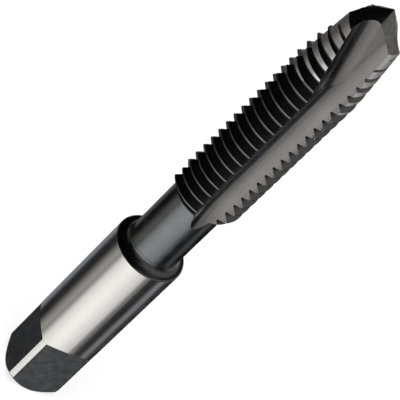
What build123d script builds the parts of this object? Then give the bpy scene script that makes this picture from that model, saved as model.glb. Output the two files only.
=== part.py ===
# Spiral point thread tap, one solid, standing on the end of its drive square with the point up.
# Millimetres. The origin is the centre of the end face and +Z runs along the axis to the point.
from build123d import *
import math
import os

# thread: 3/8 inch, 16 turns to the inch, right-hand, with 60 degree flanks
major_diameter = 9.525
pitch = 25.4 / 16
crest_flat = pitch / 8
thread_depth = 0.6134 * pitch
flank_angle = 30
first_crest_rise = 1.64      # from the neck's end to the first crest, in line with the first flute

# turned blank, from the drive end to the point
shank_diameter = 9.68
shank_length = 29.7
end_chamfer_width = 1.29
end_chamfer_length = 1.5
shoulder_chamfer = 0.18
neck_diameter = 7.1
neck_length = 11.2
neck_fillet = 1.0
thread_length = 33.6
nose_step = 0.81             # how far the nose cone starts inside the crests
nose_length = 3.6
nose_tip_diameter = 0.2

# drive square
across_flats = 7.4
flat_length = 10.0

# flutes, drawn across the axis with x out through the first flute and y towards the heel
flute_count = 3
flute_azimuth = -33.6        # turn of the first flute from the +X drive flat
cutting_edge_angle = 7.4
cutting_face_slope = 7.6
floor_depth = 1.95           # least distance of the curved floor from the axis
floor_offset = 2.2           # how far the floor's deepest line lies towards the heel
floor_radius = 5.0
flute_fillet = 1.6
full_depth_rise = 4.9        # from the neck's end to where the flute reaches its full depth
wheel_radius = 25.6          # from the axis to the centre of the wheel that ground the run-out

# spiral point: a second cut in each flute, slanted back so that the chips run ahead of the tap
slant_length = 9.8           # from the nose cone down to where the cut leaves the straight edge
slant_angle = 12.9
slant_floor = 1.08           # distance of its floor from the axis at the nose
slant_floor_rise = 12.3
slant_deepening = 2.6
slant_fillet = 1.9

# lead chamfer: each land's crests are ground down towards the nose, and more at the heel
lead_length = 10.8
lead_angle = 5.9
lead_relief = 0.41           # offset of the chamfer's cone from the tap's axis

# cutters
overrun = 2                  # how far each cutter runs past the surface that it cuts
run_in = 6                   # how far below the start of its cut a slanted cutter begins
slant_width = 9
floor_reach = 0.8            # share of its radius that the floor arc runs past its deepest line
groove_margin = 16           # degrees that each groove runs past its land, at both ends
groove_clearance = 0.08      # how far each groove's cutter stands out of the crests
fillet_share = 0.95          # the most of the shoulder's width that the neck's fillet takes
match = 0.01

shank_radius = shank_diameter / 2
neck_radius = neck_diameter / 2
major_radius = major_diameter / 2
nose_base_radius = major_radius - nose_step
root_radius = major_radius - thread_depth
cutter_reach = major_radius + overrun
shoulder_width = shank_radius - shoulder_chamfer - neck_radius

thread_start = shank_length + neck_length
first_crest = thread_start + first_crest_rise
full_depth_height = thread_start + full_depth_rise
nose_base = thread_start + thread_length
slant_start = nose_base - slant_length
lead_start = nose_base - lead_length
total_length = nose_base + nose_length

# the heel is where the floor arc comes out through the crests
land_turn = 360 / flute_count
floor_centre_x = floor_depth + floor_radius
floor_centre_distance = math.hypot(floor_centre_x, floor_offset)
floor_half_turn = math.acos(
    (floor_centre_distance**2 + major_radius**2 - floor_radius**2)
    / (2 * floor_centre_distance * major_radius)
)
heel_angle = math.degrees(math.atan2(floor_offset, floor_centre_x) + floor_half_turn)


def tangent(angle):
    """The tangent of an angle in degrees."""
    return math.tan(math.radians(angle))


def polar(radius, angle):
    """The point at a radius and an angle about the axis."""
    return (radius * math.cos(math.radians(angle)), radius * math.sin(math.radians(angle)))


def blank():
    """The turned blank: chamfered shank, shoulder, neck, thread body and coned nose."""
    with BuildPart() as body:
        with BuildSketch(Plane.XZ):
            with BuildLine():
                Polyline(
                    (0, 0),
                    (shank_radius - end_chamfer_width, 0),
                    (shank_radius, end_chamfer_length),
                    (shank_radius, shank_length - shoulder_chamfer),
                    (shank_radius - shoulder_chamfer, shank_length),
                    (neck_radius, shank_length),
                    (neck_radius, thread_start),
                    (major_radius, thread_start + major_radius - neck_radius),
                    (major_radius, nose_base - nose_step),
                    (nose_base_radius, nose_base),
                    (nose_tip_diameter / 2, total_length),
                    (0, total_length),
                    close=True,
                )
            make_face()
        revolve(axis=Axis.Z)
        shoulder_corner = body.edges().filter_by(
            lambda e: e.geom_type == GeomType.CIRCLE
            and abs(e.radius - neck_radius) < match
            and abs(e.center().Z - shank_length) < match
        )
        fillet(shoulder_corner, min(neck_fillet, fillet_share * shoulder_width))
    return body.part


def drive_flat():
    """The cutter of one drive flat, which slopes up to the shank at 45 degrees."""
    half = across_flats / 2
    outside = shank_radius + overrun
    with BuildPart() as cutter:
        with BuildSketch(Plane.XZ):
            with BuildLine():
                Polyline(
                    (half, -overrun),
                    (half, flat_length),
                    (outside, flat_length + outside - half),
                    (outside, -overrun),
                    close=True,
                )
            make_face()
        extrude(amount=shank_diameter, both=True)
    return cutter.part


def flute():
    """One flute cutter: the straight part, and the arc in which the wheel left the neck."""
    edge_x, edge_y = polar(major_radius, cutting_edge_angle)

    def face_y(x):
        return edge_y + (x - edge_x) * tangent(cutting_face_slope)

    def floor_x(y):
        return floor_centre_x - math.sqrt(floor_radius**2 - (y - floor_offset) ** 2)

    corner_y = face_y(floor_x(0))
    corner = (floor_x(corner_y), corner_y)
    far_y = floor_offset + floor_reach * floor_radius
    wheel_turn = (cutting_edge_angle + heel_angle) / 2
    wheel_x, wheel_y = polar(wheel_radius, wheel_turn)
    across_x, across_y = polar(1, wheel_turn - 90)
    clear_cosine = (wheel_radius - neck_radius - overrun) / (wheel_radius - floor_depth)
    run_out = math.degrees(math.acos(clear_cosine))
    with BuildPart() as cutter:
        with BuildSketch(Plane.XY.offset(full_depth_height)) as section:
            with BuildLine():
                face_line = Line((cutter_reach, face_y(cutter_reach)), corner)
                floor_arc = ThreePointArc(
                    corner, (floor_x(floor_offset), floor_offset), (floor_x(far_y), far_y)
                )
                Polyline(floor_arc @ 1, (cutter_reach, far_y), face_line @ 0)
            make_face()
            fillet(section.vertices().sort_by_distance((*corner, full_depth_height))[0], flute_fillet)
        extrude(amount=total_length - full_depth_height + overrun)
        wheel_axis = Axis((wheel_x, wheel_y, full_depth_height), (across_x, across_y, 0))
        revolve(section.sketch, axis=wheel_axis, revolution_arc=run_out)
    return cutter.part


def spiral_point():
    """One slanted cutter, which takes the cutting edge back towards the nose."""
    base = slant_start - run_in
    face = polar(major_radius, cutting_edge_angle)[1] + run_in * tangent(slant_angle)
    floor = slant_floor + (total_length - base) * tangent(slant_deepening)
    reach = cutter_reach - floor
    slant = Vector(-tangent(slant_deepening), -tangent(slant_angle), 1)
    with BuildPart() as cutter:
        with BuildSketch(Plane((floor, face, base), x_dir=(1, 0, 0), z_dir=slant)) as section:
            with BuildLine():
                Polyline(
                    (0, 0),
                    (slant_width * tangent(slant_floor_rise), slant_width),
                    (reach, slant_width),
                    (reach, 0),
                    close=True,
                )
            make_face()
            fillet(section.vertices().sort_by_distance((0, 0, 0))[0], slant_fillet)
        extrude(amount=(total_length - base + overrun) * slant.length)
    return cutter.part


def lead_chamfer():
    """The cutter of one land's lead chamfer: a ring round a cone that leans back at the heel."""
    land_middle = (heel_angle + cutting_edge_angle + land_turn) / 2
    base = lead_start - run_in
    height = total_length - base + overrun
    shift_x, shift_y = polar(lead_relief, land_middle + 90)
    heel_shift = lead_relief * math.cos(math.radians(land_middle + 90 - heel_angle))
    base_radius = major_radius - heel_shift + run_in * tangent(lead_angle)
    top_radius = base_radius - height * tangent(lead_angle)
    with BuildPart() as cutter:
        with BuildSketch(Plane.XY.offset(base)):
            with BuildLine():
                Polyline(
                    (0, 0),
                    polar(2 * cutter_reach, land_middle - land_turn / 2),
                    polar(2 * cutter_reach, land_middle + land_turn / 2),
                    close=True,
                )
            make_face()
        extrude(amount=height)
        with Locations((shift_x, shift_y, base)):
            Cone(
                base_radius,
                top_radius,
                height,
                align=(Align.CENTER, Align.CENTER, Align.MIN),
                mode=Mode.SUBTRACT,
            )
    return cutter.part


def groove_arc():
    """The groove between two crests, swept up the helix across one land and a little beyond."""
    outer_radius = major_radius + groove_clearance
    outer_half = (pitch - crest_flat) / 2 + groove_clearance * tangent(flank_angle)
    root_half = outer_half - (outer_radius - root_radius) * tangent(flank_angle)
    arc = land_turn - heel_angle + cutting_edge_angle + 2 * groove_margin
    with BuildPart() as groove:
        with BuildLine():
            Helix(pitch=pitch, height=pitch * arc / 360, radius=root_radius)
        with BuildSketch(Plane.XZ):
            with BuildLine():
                Polyline(
                    (root_radius, -root_half),
                    (outer_radius, -outer_half),
                    (outer_radius, outer_half),
                    (root_radius, root_half),
                    close=True,
                )
            make_face()
        sweep(is_frenet=True)
    turn = heel_angle - groove_margin
    return groove.part.moved(Location((0, 0, pitch * turn / 360), (0, 0, turn)))


def groove_places():
    """The place of every groove: one above another on each land, following the helix."""
    top_row = math.ceil((nose_base - first_crest) / pitch)
    places = []
    for land in range(flute_count):
        turn = land * land_turn
        for row in range(-1, top_row + 1):
            height = first_crest + pitch * (row - 0.5 + turn / 360)
            places.append(Location((0, 0, height), (0, 0, turn)))
    return places


with BuildPart() as tap:
    add(blank())
    with PolarLocations(0, 4):
        add(drive_flat(), mode=Mode.SUBTRACT)
    with PolarLocations(0, flute_count, start_angle=flute_azimuth):
        add(flute(), mode=Mode.SUBTRACT)
        add(spiral_point(), mode=Mode.SUBTRACT)
        add(lead_chamfer(), mode=Mode.SUBTRACT)
    with Locations(Rot(0, 0, flute_azimuth)):
        with Locations(*groove_places()):
            add(groove_arc(), mode=Mode.SUBTRACT)

tap.part.label = "spiral_point_tap"
box = tap.part.bounding_box().size
print(f"solids {len(tap.part.solids())}, faces {len(tap.part.faces())}, valid {tap.part.is_valid}")
print(f"size {box.X:.2f} x {box.Y:.2f} x {box.Z:.2f} mm, volume {tap.part.volume:.1f} mm3")

os.makedirs("parts", exist_ok=True)
export_step(tap.part, "parts/spiral_point_tap.step")
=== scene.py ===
"""Dresses a spiral point thread tap that stands on its drive square, and sets its stage.

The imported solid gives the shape. Its surface is sorted into the finishes that the grinding and the
blackening leave: a ground shank, a blackened neck and thread, ground flutes and ground crests.
"""

import math

import bpy
from bpy.props import FloatProperty, FloatVectorProperty, PointerProperty
from bpy.types import Operator, Panel, PropertyGroup
from mathutils import Matrix, Vector


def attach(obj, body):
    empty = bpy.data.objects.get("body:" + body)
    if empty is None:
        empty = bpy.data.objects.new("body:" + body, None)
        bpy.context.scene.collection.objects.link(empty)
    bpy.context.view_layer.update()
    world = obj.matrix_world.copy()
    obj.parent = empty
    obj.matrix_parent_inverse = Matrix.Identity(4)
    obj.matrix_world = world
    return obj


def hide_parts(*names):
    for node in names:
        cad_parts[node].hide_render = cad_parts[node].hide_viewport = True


bl_info = {
    "name": "Thread tap",
    "version": (1, 0, 0),
    "blender": (4, 5, 0),
    "location": "3D View > Sidebar > Thread tap",
    "description": "Builds a spiral point thread tap with its ground and blackened finishes",
    "category": "Object",
}

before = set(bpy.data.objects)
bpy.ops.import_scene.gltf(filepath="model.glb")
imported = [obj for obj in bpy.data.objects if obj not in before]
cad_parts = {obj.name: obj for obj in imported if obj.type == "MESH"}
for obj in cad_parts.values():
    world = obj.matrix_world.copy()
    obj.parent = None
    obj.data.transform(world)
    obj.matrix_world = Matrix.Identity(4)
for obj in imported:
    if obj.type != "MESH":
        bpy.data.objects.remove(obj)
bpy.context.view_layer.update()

SOLID = "spiral_point_tap"
MILLIMETRE = 0.001

# heights and radii of the solid's own surfaces, in metres
SHANK_RADIUS = 4.84 * MILLIMETRE
SHOULDER = 29.7 * MILLIMETRE
SHOULDER_EDGE = 0.3 * MILLIMETRE  # the shoulder's chamfer reaches no further down than this
NECK_RADIUS = 3.55 * MILLIMETRE
NECK_FILLET = 1.1 * MILLIMETRE  # the neck's fillet reaches no further up than this
NECK_END = 40.9 * MILLIMETRE
ROOT_RADIUS = 3.788 * MILLIMETRE
LEAD_RADIUS = 3.1 * MILLIMETRE  # the lead chamfer comes no nearer to the axis than this
NOSE_BASE = 73.6 * MILLIMETRE
NEAR = 0.02 * MILLIMETRE

# turns about the axis, in degrees, from a flute's bearing where no other start is given
FLUTE_SPACING = 120
FLUTE_BEARING = -33.6  # from +X to the first flute
FLUTE_START = -30  # where a flute's share of the round begins, on the land before it
CUTTING_FACE_TURN = 97.6  # the cutting face's normal
SAME_TURN = 1.5  # how far a facet of the cutting face may turn from that
ROOT_TURN = 9  # from the cutting face's normal to where the flute's rounded root begins
WHEEL_LINE_TURN = 40  # the dull line that the wheel left in the flute
LINE_RISE = 7  # width of that line's side towards the cutting face
LINE_FALL = 6  # width of its side towards the heel
LIGHTENING_TURN = 44  # where the flute begins to get lighter towards the heel
HEEL_TURN = 62  # the heel

# how a facet is sorted: the share of its normal that points up the axis, or straight out from it
ROUND_OUT = 0.99
NOSE_UP = 0.5
NOSE_OUT = 0.4
CREST_UP = 0.2
CREST_OUT = 0.96
LEAD_UP = 0.05
FLANK_UP = 0.6
FLANK_OUT = 0.2
FACE_UP = 0.02

# scales of the grinding grain along X, Y and Z: its lines run where the scale is small
AROUND = (60, 60, 24000)
ACROSS_CRESTS = (1800, 1800, 5200)
ALONG = (5200, 5200, 220)

# scale and contrast of the cloudy patches
SHANK_CLOUD = (220, 0.7)
FLUTE_CLOUD = (260, 1.0)
SMOOTH_CLOUD = (420, 1.4)
DRIVE_CLOUD = (1500, 2.2)
NOSE_CLOUD = (2000, 3.5)
CLOUD_LOW = 0.2  # the patches' range over which the roughness changes
CLOUD_HIGH = 0.8

# edge wear with its painted highlight, and the flutes' tone round their floor
WEAR_START = 0.99  # cosine of the rounded normal's turn, where the wear and its painted highlight begin
WEAR_FULL = 0.82  # and where it is full
WORN_AND_HIGHLIGHT_TONE = 0.4  # share of the crests' colour that shows through worn blackening, painting a highlight on the worn edges
LINE_SHARE = 0.24  # how much darker the wheel's line is
DARKEST_TONE = 0.78  # tone of a flute where it is darkest
HEEL_TONE = 1.45  # tone of a flute at its heel


# settings


class TapFinish(PropertyGroup):
    """Colours and roughness of the tap's steel."""

    ground_color: FloatVectorProperty(
        name="Ground steel",
        description="Colour that the ground shank reflects",
        subtype="COLOR",
        size=3,
        min=0,
        max=1,
        default=(0.73, 0.72, 0.70),
    )
    ground_roughness: FloatProperty(
        name="Ground roughness",
        description="Roughness of the ground shank",
        subtype="FACTOR",
        min=0,
        max=1,
        default=0.22,
    )
    neck_color: FloatVectorProperty(
        name="Blackened neck",
        description="Colour that the blackened neck and drive flats reflect",
        subtype="COLOR",
        size=3,
        min=0,
        max=1,
        default=(0.186, 0.19, 0.196),
    )
    neck_roughness: FloatProperty(
        name="Neck roughness",
        description="Roughness of the blackened neck",
        subtype="FACTOR",
        min=0,
        max=1,
        default=0.26,
    )
    # thread_color is also used as painted shade on the shoulder and on the cutting faces
    thread_color: FloatVectorProperty(
        name="Blackened thread",
        description="Colour of the blackened flanks and roots of the thread",
        subtype="COLOR",
        size=3,
        min=0,
        max=1,
        default=(0.082, 0.082, 0.085),
    )
    worn_color: FloatVectorProperty(
        name="Worn crests",
        description="Colour that the worn crests of the thread reflect",
        subtype="COLOR",
        size=3,
        min=0,
        max=1,
        default=(0.15, 0.153, 0.158),
    )
    nose_color: FloatVectorProperty(
        name="Nose",
        description="Colour that the blackened nose cone reflects",
        subtype="COLOR",
        size=3,
        min=0,
        max=1,
        default=(0.134, 0.132, 0.13),
    )
    root_color: FloatVectorProperty(
        name="Flute roots",
        description="Colour that the rounded roots of the flutes reflect",
        subtype="COLOR",
        size=3,
        min=0,
        max=1,
        default=(0.36, 0.355, 0.385),
    )
    flute_color: FloatVectorProperty(
        name="Flutes",
        description="Colour that the satin flutes reflect",
        subtype="COLOR",
        size=3,
        min=0,
        max=1,
        default=(0.162, 0.161, 0.156),
    )
    flute_roughness: FloatProperty(
        name="Flute roughness",
        description="Roughness of the satin flutes",
        subtype="FACTOR",
        min=0,
        max=1,
        default=0.27,
    )
    crest_color: FloatVectorProperty(
        name="Crests",
        description="Colour that the ground crests reflect",
        subtype="COLOR",
        size=3,
        min=0,
        max=1,
        default=(0.72, 0.71, 0.69),
    )
    line_depth: FloatProperty(
        name="Grinding lines",
        description="Depth of the grinding lines",
        subtype="DISTANCE",
        unit="LENGTH",
        min=0,
        default=0.002 * MILLIMETRE,
        precision=6,
    )
    # edge_round: width of the rounded edges, whose lighter colour is partly wear and partly a painted
    # highlight
    edge_round: FloatProperty(
        name="Edge rounding",
        description="How wide the worn edges are",
        subtype="DISTANCE",
        unit="LENGTH",
        min=0,
        default=0.06 * MILLIMETRE,
        precision=6,
    )


class TapStage(PropertyGroup):
    """Camera, floor and light."""

    look_height: FloatProperty(
        name="Look height",
        description="Height of the point on the tap's axis that the camera looks at",
        subtype="DISTANCE",
        unit="LENGTH",
        default=0.0404,
    )
    azimuth: FloatProperty(
        name="Azimuth",
        description="Turn of the camera round the tap",
        subtype="ANGLE",
        unit="ROTATION",
        default=math.radians(56.4),
    )
    elevation: FloatProperty(
        name="Elevation",
        description="Height angle of the camera above the floor",
        subtype="ANGLE",
        unit="ROTATION",
        default=math.radians(39.31),
    )
    distance: FloatProperty(
        name="Distance",
        description="Distance of the camera from the point that it looks at",
        subtype="DISTANCE",
        unit="LENGTH",
        min=0.01,
        default=0.2487,
    )
    roll: FloatProperty(
        name="Roll",
        description="Roll of the camera about its line of sight",
        subtype="ANGLE",
        unit="ROTATION",
        default=math.radians(45.59),
    )
    lens: FloatProperty(
        name="Lens",
        description="Focal length of the camera on a 36 mm wide sensor",
        min=1,
        default=188.6,
    )
    floor_size: FloatProperty(
        name="Floor size",
        description="Side of the floor",
        subtype="DISTANCE",
        unit="LENGTH",
        min=0.1,
        default=6.0,
    )
    floor_shadow: FloatProperty(
        name="Floor shadow",
        description="How much of the floor's tone comes from the light that falls on it",
        subtype="FACTOR",
        min=0,
        max=1,
        default=0.25,
    )
    key_power: FloatProperty(
        name="Overhead light",
        description="Power of the large lamp above the tap",
        subtype="POWER",
        unit="POWER",
        min=0,
        default=14,
    )
    panel_level: FloatProperty(
        name="Panel level",
        description="Brightness of all the light panels round the tap",
        min=0,
        default=1.0,
    )


# node helpers

# places of the colour sockets on a Mix node, whose number and vector sockets bear the same names
MIX_FIRST = 6
MIX_SECOND = 7
MIX_RESULT = 2


def add_node(tree, kind, **values):
    """Adds a shader node, sets its attributes, and returns it."""
    node = tree.nodes.new(kind)
    for name, value in values.items():
        setattr(node, name, value)
    return node


def feed(tree, target, source):
    """Links a socket into a target, or sets a plain value on it."""
    if isinstance(source, bpy.types.NodeSocket):
        tree.links.new(source, target)
    else:
        target.default_value = source


def calculate(tree, operation, first, second=0.0, third=None):
    """A Math node of one operation."""
    node = add_node(tree, "ShaderNodeMath", operation=operation)
    feed(tree, node.inputs[0], first)
    feed(tree, node.inputs[1], second)
    if third is not None:
        feed(tree, node.inputs[2], third)
    return node.outputs[0]


def ease(tree, value, start, end, low=0.0, high=1.0):
    """A smooth step of a value from one range into another."""
    node = add_node(tree, "ShaderNodeMapRange", interpolation_type="SMOOTHSTEP")
    for socket, number in zip(node.inputs, (value, start, end, low, high)):
        feed(tree, socket, number)
    return node.outputs["Result"]


def blend_colors(tree, factor, first, second):
    """A Mix node of two colours."""
    node = add_node(tree, "ShaderNodeMix", data_type="RGBA")
    feed(tree, node.inputs[0], factor)
    feed(tree, node.inputs[MIX_FIRST], first)
    feed(tree, node.inputs[MIX_SECOND], second)
    return node.outputs[MIX_RESULT]


def rgba(color, share=1.0):
    """A colour with its alpha, scaled by a share."""
    return (*(channel * share for channel in color), 1.0)


def new_group(name, inputs, outputs):
    """An empty shader node group with named sockets: returns it with its inner input and output."""
    group = bpy.data.node_groups.new(name, "ShaderNodeTree")
    for label, kind, default in inputs:
        socket = group.interface.new_socket(name=label, in_out="INPUT", socket_type=kind)
        if default is not None:
            socket.default_value = default
    for label, kind in outputs:
        group.interface.new_socket(name=label, in_out="OUTPUT", socket_type=kind)
    return group, group.nodes.new("NodeGroupInput"), group.nodes.new("NodeGroupOutput")


def place_group(tree, group, **values):
    """Places a node group in a tree, with its own values on its named inputs."""
    node = add_node(tree, "ShaderNodeGroup", node_tree=group)
    for name, value in values.items():
        feed(tree, node.inputs[name.replace("_", " ").capitalize()], value)
    return node


# shared effects


def grain_group():
    """Fine lines left by a grinding wheel, stretched by the three scales of the surface's place."""
    group, start, end = new_group(
        "grinding grain",
        [
            ("Stretch", "NodeSocketVector", (1, 1, 1)),
            ("Contrast", "NodeSocketFloat", 1.0),
        ],
        [("Lines", "NodeSocketFloat"), ("Height", "NodeSocketFloat")],
    )
    place = add_node(group, "ShaderNodeTexCoord")
    stretched = add_node(group, "ShaderNodeVectorMath", operation="MULTIPLY")
    feed(group, stretched.inputs[0], place.outputs["Object"])
    feed(group, stretched.inputs[1], start.outputs["Stretch"])
    noise = add_node(group, "ShaderNodeTexNoise")
    feed(group, noise.inputs["Vector"], stretched.outputs[0])
    noise.inputs["Scale"].default_value = 1.0
    noise.inputs["Detail"].default_value = 3.0
    noise.inputs["Roughness"].default_value = 0.6
    centred = calculate(group, "SUBTRACT", noise.outputs[0], 0.5)
    lines = calculate(group, "MULTIPLY_ADD", centred, start.outputs["Contrast"], 0.5)
    feed(group, end.inputs["Lines"], lines)
    feed(group, end.inputs["Height"], noise.outputs[0])
    return group


def heel_group():
    """How light a flute's tone is round its floor: darkest along the wheel's line, and lightest at the
    heel.
    """
    group, start, end = new_group(
        "towards the heel",
        [("Bearing", "NodeSocketFloat", FLUTE_BEARING)],
        [("Share", "NodeSocketFloat")],
    )
    place = add_node(group, "ShaderNodeTexCoord")
    parts = add_node(group, "ShaderNodeSeparateXYZ")
    feed(group, parts.inputs[0], place.outputs["Object"])
    turn = calculate(group, "ARCTAN2", parts.outputs["Y"], parts.outputs["X"])
    offset = calculate(group, "SUBTRACT", calculate(group, "DEGREES", turn), start.outputs["Bearing"])
    within = calculate(group, "WRAP", offset, FLUTE_START + FLUTE_SPACING, FLUTE_START)
    towards_heel = ease(group, within, LIGHTENING_TURN, HEEL_TURN, LINE_SHARE, 1.0)
    line_in = ease(group, within, WHEEL_LINE_TURN - LINE_RISE, WHEEL_LINE_TURN)
    line_out = ease(group, within, WHEEL_LINE_TURN, WHEEL_LINE_TURN + LINE_FALL, 1.0, 0.0)
    line = calculate(group, "MULTIPLY", line_in, line_out)
    feed(group, end.inputs["Share"], calculate(group, "MULTIPLY_ADD", line, -LINE_SHARE, towards_heel))
    return group


def patches_group():
    """Soft cloudy patches, as handling and the blackening bath leave them."""
    group, start, end = new_group(
        "cloudy patches",
        [("Scale", "NodeSocketFloat", 300.0), ("Contrast", "NodeSocketFloat", 1.0)],
        [("Patches", "NodeSocketFloat")],
    )
    place = add_node(group, "ShaderNodeTexCoord")
    noise = add_node(group, "ShaderNodeTexNoise")
    feed(group, noise.inputs["Vector"], place.outputs["Object"])
    feed(group, noise.inputs["Scale"], start.outputs["Scale"])
    noise.inputs["Detail"].default_value = 4.0
    centred = calculate(group, "SUBTRACT", noise.outputs[0], 0.5)
    patches = calculate(group, "MULTIPLY_ADD", centred, start.outputs["Contrast"], 0.5)
    feed(group, end.inputs["Patches"], patches)
    return group


def wear_and_highlight_group():
    """A mask of the worn edges, whose colour it lightens as wear and as a painted highlight: where the
    rounded normal leaves the surface's own.
    """
    group, start, end = new_group(
        "edge wear and highlight",
        [("Width", "NodeSocketFloat", 0.0001), ("Amount", "NodeSocketFloat", 1.0)],
        [("Mask", "NodeSocketFloat"), ("Normal", "NodeSocketVector")],
    )
    rounded = add_node(group, "ShaderNodeBevel", samples=6)
    feed(group, rounded.inputs["Radius"], start.outputs["Width"])
    surface = add_node(group, "ShaderNodeNewGeometry")
    turn = add_node(group, "ShaderNodeVectorMath", operation="DOT_PRODUCT")
    feed(group, turn.inputs[0], rounded.outputs[0])
    feed(group, turn.inputs[1], surface.outputs["Normal"])
    worn = ease(group, turn.outputs["Value"], WEAR_START, WEAR_FULL)
    mask = calculate(group, "MULTIPLY", worn, start.outputs["Amount"])
    feed(group, end.inputs["Mask"], mask)
    feed(group, end.inputs["Normal"], rounded.outputs[0])
    return group


# materials


class Finish:
    """A new material of bare metal, with one Principled shader and the shared effects."""

    def __init__(self, name, effects, roughness):
        self.material = bpy.data.materials.new(name)
        self.material.use_nodes = True
        self.tree = self.material.node_tree
        self.shader = self.tree.nodes["Principled BSDF"]
        self.effects = effects
        self.roughness = roughness
        self.shader.inputs["Metallic"].default_value = 1.0
        self.shader.inputs["Roughness"].default_value = roughness

    def grain(self, stretch, contrast):
        """Places the grinding grain, stretched along its lines."""
        return place_group(self.tree, self.effects["grain"], stretch=stretch, contrast=contrast)

    def patches(self, scale, contrast):
        """Places the cloudy patches, and gives their value."""
        node = place_group(self.tree, self.effects["patches"], scale=scale, contrast=contrast)
        return node.outputs["Patches"]

    def wear(self, width, amount=1.0):
        """Places the edge wear with its painted highlight, with its mask and its rounded normal."""
        return place_group(self.tree, self.effects["wear"], width=width, amount=amount)

    def tones(self, mask, color, dark, light):
        """A colour that goes from its darker share to its lighter one."""
        return blend_colors(self.tree, mask, rgba(color, dark), rgba(color, light))

    def color(self, source):
        """Gives the shader its colour."""
        feed(self.tree, self.shader.inputs["Base Color"], source)

    def uneven_roughness(self, patches, smoother, rougher):
        """Lets the roughness follow the patches, from a little smoother to a little rougher."""
        low = self.roughness - smoother
        high = self.roughness + rougher
        source = ease(self.tree, patches, CLOUD_LOW, CLOUD_HIGH, low, high)
        feed(self.tree, self.shader.inputs["Roughness"], source)

    def relief(self, grain, wear, depth, strength):
        """Raises the grain's lines over the rounded edges."""
        bump = add_node(self.tree, "ShaderNodeBump")
        bump.inputs["Distance"].default_value = depth
        bump.inputs["Strength"].default_value = strength
        feed(self.tree, bump.inputs["Height"], grain.outputs["Height"])
        feed(self.tree, bump.inputs["Normal"], wear.outputs["Normal"])
        feed(self.tree, self.shader.inputs["Normal"], bump.outputs[0])

    def brush(self, anisotropy, rotation):
        """Stretches the reflections, as lines ground round the axis do."""
        tangent = add_node(self.tree, "ShaderNodeTangent", direction_type="RADIAL", axis="Z")
        self.shader.inputs["Anisotropic"].default_value = anisotropy
        self.shader.inputs["Anisotropic Rotation"].default_value = rotation
        feed(self.tree, self.shader.inputs["Tangent"], tangent.outputs[0])


def ground_steel(settings, effects):
    """Bright ground steel of the shank, with fine lines round it."""
    finish = Finish("ground steel", effects, settings.ground_roughness)
    grain = finish.grain(AROUND, contrast=1.2)
    finish.color(finish.tones(grain.outputs["Lines"], settings.ground_color, dark=0.86, light=1.1))
    finish.uneven_roughness(finish.patches(*SHANK_CLOUD), smoother=0.04, rougher=0.05)
    finish.relief(grain, finish.wear(settings.edge_round), settings.line_depth, strength=0.5)
    finish.brush(anisotropy=0.7, rotation=0.25)
    return finish.material


def blackened_steel(settings, effects, name, color, roughness, worn, cloud=SMOOTH_CLOUD):
    """Blackened steel: dark and a little cloudy, and lighter where its edges are worn, partly as a
    painted highlight.
    """
    finish = Finish(name, effects, roughness)
    patches = finish.patches(*cloud)
    wear = finish.wear(settings.edge_round, amount=worn)
    tone = finish.tones(patches, color, dark=0.8, light=1.2)
    # worn edges take the crests' colour: partly bare steel, partly a painted highlight
    bare = rgba(settings.crest_color, WORN_AND_HIGHLIGHT_TONE)
    finish.color(blend_colors(finish.tree, wear.outputs["Mask"], tone, bare))
    finish.uneven_roughness(patches, smoother=0.04, rougher=0.06)
    finish.relief(finish.grain(AROUND, contrast=1.0), wear, settings.line_depth, strength=0.25)
    return finish.material


def satin_steel(settings, effects):
    """Satin ground steel of the flutes, with lines along them and a tone that gets lighter towards the
    heel.
    """
    finish = Finish("satin flute steel", effects, settings.flute_roughness)
    grain = finish.grain(ALONG, contrast=1.3)
    wear = finish.wear(settings.edge_round, amount=0.6)
    tone = finish.tones(grain.outputs["Lines"], settings.flute_color, dark=0.8, light=1.2)
    heel = place_group(finish.tree, effects["heel"], bearing=FLUTE_BEARING)
    heel_lightening = finish.tones(heel.outputs["Share"], (1, 1, 1), dark=DARKEST_TONE, light=HEEL_TONE)
    shaded = add_node(finish.tree, "ShaderNodeVectorMath", operation="MULTIPLY")
    feed(finish.tree, shaded.inputs[0], tone)
    feed(finish.tree, shaded.inputs[1], heel_lightening)
    # the flutes' edges take the crests' bright colour: a painted highlight
    bare = rgba(settings.crest_color)
    finish.color(blend_colors(finish.tree, wear.outputs["Mask"], shaded.outputs[0], bare))
    finish.uneven_roughness(finish.patches(*FLUTE_CLOUD), smoother=0.05, rougher=0.07)
    finish.relief(grain, wear, settings.line_depth, strength=0.3)
    return finish.material


def crest_steel(settings, effects):
    """Ground crests of the lead chamfer, with lines across them."""
    finish = Finish("ground crest steel", effects, roughness=0.3)
    grain = finish.grain(ACROSS_CRESTS, contrast=1.8)
    finish.color(finish.tones(grain.outputs["Lines"], settings.crest_color, dark=0.75, light=1.25))
    finish.relief(grain, finish.wear(settings.edge_round / 2), settings.line_depth, strength=0.4)
    return finish.material


# the tap


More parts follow.
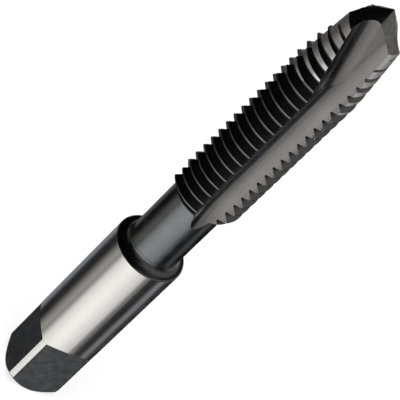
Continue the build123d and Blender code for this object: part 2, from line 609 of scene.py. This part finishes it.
def surface_kind(points, normal):
    """Which finish a small piece of the solid's surface has."""
    centre = sum(points, Vector()) / len(points)
    outward = Vector((centre.x, centre.y, 0)).normalized()
    radii = [math.hypot(point.x, point.y) for point in points]
    out = normal.dot(outward)
    up = abs(normal.z)

    def round_at(radius):
        return all(abs(value - radius) < NEAR for value in radii) and out > ROUND_OUT

    if centre.z < SHOULDER - NEAR:
        if round_at(SHANK_RADIUS):
            return "ground"
        # the shoulder's chamfer takes the thread's darker black rather than the neck's: painted shade
        # that keeps a highlight off it
        on_edge = min(point.z for point in points) > SHOULDER - SHOULDER_EDGE
        return "thread" if on_edge else "drive"
    if centre.z < NECK_END:
        if round_at(NECK_RADIUS):
            return "neck"
        # the shoulder's face and the neck's fillet take the thread's darker black too: painted shade on
        # the blackened shoulder
        return "thread" if centre.z < SHOULDER + NECK_FILLET else "flute"
    if round_at(ROOT_RADIUS):
        return "thread"
    if centre.z > NOSE_BASE and normal.z > NOSE_UP and out > NOSE_OUT:
        return "nose"
    if up < CREST_UP and out > CREST_OUT and min(radii) > LEAD_RADIUS:
        return "crest" if normal.z > LEAD_UP else "worn crest"
    if up > FLANK_UP and out > FLANK_OUT:
        return "thread"
    bearing = math.degrees(math.atan2(normal.y, normal.x))
    half = FLUTE_SPACING / 2
    off_face = (bearing - FLUTE_BEARING - CUTTING_FACE_TURN + half) % FLUTE_SPACING - half
    # cutting faces take the thread's black: painted shade on ground steel
    if up < FACE_UP and abs(off_face) < SAME_TURN:
        return "cutting face"
    return "flute root" if off_face < -ROOT_TURN else "flute"


def build_tap(settings):
    """A dressed copy of the solid, with one finish for each kind of surface."""
    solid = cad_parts[SOLID]
    mesh = solid.data.copy()
    mesh.name = "tap_body"
    body = bpy.data.objects.new("tap_body", mesh)
    bpy.context.scene.collection.objects.link(body)
    effects = {
        "grain": grain_group(),
        "heel": heel_group(),
        "patches": patches_group(),
        "wear": wear_and_highlight_group(),
    }

    def blackened(name, color, roughness, worn, cloud=SMOOTH_CLOUD):
        return blackened_steel(settings, effects, name, color, roughness, worn, cloud)

    black = settings.thread_color
    neck = settings.neck_color
    finishes = {
        "ground": ground_steel(settings, effects),
        "neck": blackened("blackened neck steel", neck, settings.neck_roughness, worn=0.5),
        "drive": blackened("blackened drive steel", neck, roughness=0.5, worn=0.6, cloud=DRIVE_CLOUD),
        "thread": blackened("blackened thread steel with painted shoulder shade", black, roughness=0.34, worn=0.2),
        "worn crest": blackened("worn crest steel", settings.worn_color, roughness=0.3, worn=0.7),
        # painted shade: the ground cutting faces take the thread's black
        "cutting face": blackened("cutting face steel with painted shade", black, roughness=0.36, worn=0.15),
        "nose": blackened(
            "blackened nose steel", settings.nose_color, roughness=0.27, worn=0.6, cloud=NOSE_CLOUD
        ),
        "flute root": blackened("dark flute root steel", settings.root_color, roughness=0.24, worn=0.4),
        "flute": satin_steel(settings, effects),
        "crest": crest_steel(settings, effects),
    }
    mesh.materials.clear()
    for material in finishes.values():
        mesh.materials.append(material)
    slots = {kind: index for index, kind in enumerate(finishes)}
    for face in mesh.polygons:
        points = [mesh.vertices[index].co for index in face.vertices]
        face.material_index = slots[surface_kind(points, face.normal)]
    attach(body, "root")
    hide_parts(SOLID)
    return body


# the stage

# Light panels round the tap, in degrees: bearing of the middle from the camera's side, half width,
# soft left edge, soft right edge, lowest and highest height angle, soft top edge, then colour and level.
PANELS = (
    (5, 49, 26, 8, -85, -12, 8, (1.0, 0.995, 0.975), 0.84),  # main panel
    (0, 26, 52, 52, -85, -16, 8, (1.0, 0.995, 0.975), 0.42),  # its brighter core
    (-64, 12, 38, 8, -85, -14, 8, (1.0, 0.97, 0.92), 0.42),  # warm, to the left of it
    (66, 6, 6, 6, -85, -24, 10, (0.96, 0.98, 1.04), 0.16),  # narrow and cool, to the right of it
    (-149, 23, 30, 10, -85, -24, 10, (0.92, 0.96, 1.1), 0.25),  # cool, behind on the left
    (107, 10, 8, 8, -85, -24, 10, (0.98, 0.97, 1.05), 0.25),  # on the right
    (107, 8, 6, 6, -36, 0, 6, (0.98, 0.98, 1.03), 0.3),  # above that, up to level
    (142, 34, 10, 10, -26, 8, 6, (1.0, 0.99, 0.97), 0.8),  # behind on the right, round level
    (186, 10, 8, 8, -85, -5, 10, (1.0, 1.0, 1.0), 0.3),  # narrow, behind
    (86, 68, 20, 16, 14, 66, 14, (1.0, 0.985, 0.96), 0.75),  # wide and high, on the right
    (-100, 24, 16, 16, -32, -18, 6, (1.0, 0.995, 0.98), 0.05),  # faint, on the left
    (-100, 24, 16, 16, -12, 2, 8, (1.0, 0.995, 0.98), 0.8),  # above that, up to level
    (20, 40, 30, 30, -8, 14, 8, (1.0, 0.995, 0.98), 0.8),  # in front, round level
    (180, 36, 18, 18, -25, -8, 6, (1.0, 0.995, 0.98), 1.0),  # wide, behind, below level
)
DIM_LEVEL = 0.012  # the dark room between the panels

WHITE = (1, 1, 1, 1)
FLOOR_COLOR = (0.9, 0.9, 0.9, 1)
SENSOR_WIDTH = 36  # millimetres
NEAREST_SEEN = 0.01  # metres, as the lamp's places and size are
LAMP_PLACE = Vector((0.2, -0.2, 0.9))
LAMP_TARGET = Vector((0, 0, 0.04))
LAMP_SIZE = 0.8


def panel_group():
    """One light panel: its colour where a direction meets it, and black elsewhere."""
    numbers = ("Middle", "Half width", "Left edge", "Right edge", "Low", "High", "Top edge", "Level")
    group, start, end = new_group(
        "light panel",
        [("Bearing", "NodeSocketFloat", 0.0), ("Height", "NodeSocketFloat", 0.0)]
        + [(name, "NodeSocketFloat", 0.0) for name in numbers]
        + [("Color", "NodeSocketColor", WHITE)],
        [("Light", "NodeSocketVector")],
    )
    given = start.outputs
    offset = calculate(group, "SUBTRACT", given["Bearing"], given["Middle"])
    across = calculate(group, "WRAP", offset, 180, -180)
    half = given["Half width"]
    left = calculate(group, "MULTIPLY", half, -1)
    left_in = calculate(group, "MULTIPLY_ADD", given["Left edge"], 0.5, left)
    left_out = calculate(group, "MULTIPLY_ADD", given["Left edge"], -0.5, left)
    right_in = calculate(group, "MULTIPLY_ADD", given["Right edge"], -0.5, half)
    right_out = calculate(group, "MULTIPLY_ADD", given["Right edge"], 0.5, half)
    top_in = calculate(group, "MULTIPLY_ADD", given["Top edge"], -0.5, given["High"])
    top_out = calculate(group, "MULTIPLY_ADD", given["Top edge"], 0.5, given["High"])
    low_in = calculate(group, "MULTIPLY_ADD", given["Top edge"], 0.5, given["Low"])
    low_out = calculate(group, "MULTIPLY_ADD", given["Top edge"], -0.5, given["Low"])
    share = ease(group, across, left_out, left_in)
    for value, outside, inside in (
        (across, right_out, right_in),
        (given["Height"], low_out, low_in),
        (given["Height"], top_out, top_in),
    ):
        share = calculate(group, "MULTIPLY", share, ease(group, value, outside, inside))
    level = calculate(group, "MULTIPLY", share, given["Level"])
    light = add_node(group, "ShaderNodeVectorMath", operation="SCALE")
    feed(group, light.inputs[0], given["Color"])
    feed(group, light.inputs["Scale"], level)
    feed(group, end.inputs["Light"], light.outputs[0])
    return group


def camera_axes(stage):
    """The camera's place and its right, up and forward directions."""
    across = Vector((math.sin(stage.azimuth), -math.cos(stage.azimuth), 0))
    forward = -(across * math.cos(stage.elevation) + Vector((0, 0, math.sin(stage.elevation))))
    level_right = forward.cross(Vector((0, 0, 1))).normalized()
    level_up = level_right.cross(forward)
    right = level_right * math.cos(stage.roll) + level_up * math.sin(stage.roll)
    up = level_up * math.cos(stage.roll) - level_right * math.sin(stage.roll)
    place = Vector((0, 0, stage.look_height)) - forward * stage.distance
    return place, right, up, forward


def add_camera(stage):
    """The camera, rolled as the photograph is."""
    place, right, up, forward = camera_axes(stage)
    data = bpy.data.cameras.new("view")
    data.sensor_width = SENSOR_WIDTH
    data.lens = stage.lens
    data.clip_start = NEAREST_SEEN
    camera = bpy.data.objects.new("view", data)
    turn = Matrix((right, up, -forward)).transposed().to_4x4()
    camera.matrix_world = Matrix.Translation(place) @ turn
    bpy.context.scene.collection.objects.link(camera)
    bpy.context.scene.camera = camera


def add_floor(stage):
    """A pale floor, white to the camera and kept out of the tap's reflections."""
    half = stage.floor_size / 2
    mesh = bpy.data.meshes.new("floor")
    corners = [(-half, -half, 0), (half, -half, 0), (half, half, 0), (-half, half, 0)]
    mesh.from_pydata(corners, [], [(0, 1, 2, 3)])
    floor = bpy.data.objects.new("floor", mesh)
    bpy.context.scene.collection.objects.link(floor)
    material = bpy.data.materials.new("pale floor")
    material.use_nodes = True
    tree = material.node_tree
    tree.nodes.clear()
    diffuse = add_node(tree, "ShaderNodeBsdfDiffuse")
    diffuse.inputs["Color"].default_value = FLOOR_COLOR
    glow = add_node(tree, "ShaderNodeEmission")
    path = add_node(tree, "ShaderNodeLightPath")
    share = calculate(tree, "MULTIPLY", path.outputs["Is Camera Ray"], 1 - stage.floor_shadow)
    mixed = add_node(tree, "ShaderNodeMixShader")
    feed(tree, mixed.inputs[0], share)
    feed(tree, mixed.inputs[1], diffuse.outputs[0])
    feed(tree, mixed.inputs[2], glow.outputs[0])
    output = add_node(tree, "ShaderNodeOutputMaterial")
    feed(tree, output.inputs["Surface"], mixed.outputs[0])
    mesh.materials.append(material)
    floor.visible_glossy = False


def add_world(stage):
    """Light panels all round the tap, seen in its steel, with white behind it for the camera."""
    world = bpy.data.worlds.new("studio")
    bpy.context.scene.world = world
    world.use_nodes = True
    tree = world.node_tree
    tree.nodes.clear()
    direction = add_node(tree, "ShaderNodeTexCoord")
    parts = add_node(tree, "ShaderNodeSeparateXYZ")
    feed(tree, parts.inputs[0], direction.outputs["Generated"])
    turn = calculate(tree, "ARCTAN2", parts.outputs["Y"], parts.outputs["X"])
    # a bearing is measured from +X, and the azimuth from -Y
    camera_bearing = math.degrees(stage.azimuth) - 90
    bearing = calculate(tree, "SUBTRACT", calculate(tree, "DEGREES", turn), camera_bearing)
    height = calculate(tree, "DEGREES", calculate(tree, "ARCSINE", parts.outputs["Z"]))
    group = panel_group()
    total = (DIM_LEVEL, DIM_LEVEL, DIM_LEVEL)
    for middle, half_width, left_edge, right_edge, low, high, top_edge, color, level in PANELS:
        panel = place_group(
            tree,
            group,
            bearing=bearing,
            height=height,
            middle=middle,
            half_width=half_width,
            left_edge=left_edge,
            right_edge=right_edge,
            low=low,
            high=high,
            top_edge=top_edge,
            level=level * stage.panel_level,
            color=rgba(color),
        )
        together = add_node(tree, "ShaderNodeVectorMath", operation="ADD")
        feed(tree, together.inputs[0], panel.outputs["Light"])
        feed(tree, together.inputs[1], total)
        total = together.outputs[0]
    panels = add_node(tree, "ShaderNodeBackground")
    feed(tree, panels.inputs["Color"], total)
    white = add_node(tree, "ShaderNodeBackground")
    white.inputs["Color"].default_value = WHITE
    path = add_node(tree, "ShaderNodeLightPath")
    mixed = add_node(tree, "ShaderNodeMixShader")
    feed(tree, mixed.inputs[0], path.outputs["Is Camera Ray"])
    feed(tree, mixed.inputs[1], panels.outputs[0])
    feed(tree, mixed.inputs[2], white.outputs[0])
    output = add_node(tree, "ShaderNodeOutputWorld")
    feed(tree, output.inputs["Surface"], mixed.outputs[0])


def add_lamp(stage):
    """The large soft lamp over the tap, kept out of its reflections."""
    data = bpy.data.lights.new("overhead lamp", "AREA")
    data.size = LAMP_SIZE
    data.energy = stage.key_power
    lamp = bpy.data.objects.new("overhead lamp", data)
    lamp.location = LAMP_PLACE
    lamp.rotation_euler = (LAMP_TARGET - LAMP_PLACE).to_track_quat("-Z", "Y").to_euler()
    lamp.visible_camera = False
    lamp.visible_glossy = False
    bpy.context.scene.collection.objects.link(lamp)


def build_stage(stage):
    """Camera, floor, world and lamp."""
    add_camera(stage)
    add_floor(stage)
    add_world(stage)
    add_lamp(stage)
    bpy.context.scene.view_settings.view_transform = "Standard"


# operators and panel


class TAP_OT_body(Operator):
    """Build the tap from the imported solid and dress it"""

    bl_idname = "tap.body"
    bl_label = "Build the tap"

    def execute(self, context):
        build_tap(context.scene.tap_finish)
        return {"FINISHED"}


class TAP_OT_stage(Operator):
    """Set up the camera, the floor and the studio light"""

    bl_idname = "tap.stage"
    bl_label = "Build the stage"

    def execute(self, context):
        build_stage(context.scene.tap_stage)
        return {"FINISHED"}


class VIEW3D_PT_tap(Panel):
    """Lists the tap's settings and steps in the sidebar"""

    bl_label = "Thread tap"
    bl_space_type = "VIEW_3D"
    bl_region_type = "UI"
    bl_category = "Thread tap"

    def draw(self, context):
        scene = context.scene
        for group, operator in ((scene.tap_finish, "tap.body"), (scene.tap_stage, "tap.stage")):
            column = self.layout.column(align=True)
            for name in group.__annotations__:
                column.prop(group, name)
            column.operator(operator)


CLASSES = (TapFinish, TapStage, TAP_OT_body, TAP_OT_stage, VIEW3D_PT_tap)


def register():
    """Registers the classes and their settings on the scene."""
    for each in CLASSES:
        bpy.utils.register_class(each)
    bpy.types.Scene.tap_finish = PointerProperty(type=TapFinish)
    bpy.types.Scene.tap_stage = PointerProperty(type=TapStage)


def unregister():
    """Removes what register added."""
    del bpy.types.Scene.tap_stage
    del bpy.types.Scene.tap_finish
    for each in reversed(CLASSES):
        bpy.utils.unregister_class(each)


def main():
    """Builds everything."""
    register()
    bpy.ops.tap.stage()
    bpy.ops.tap.body()
    bpy.context.view_layer.update()


if __name__ == "__main__":
    main()
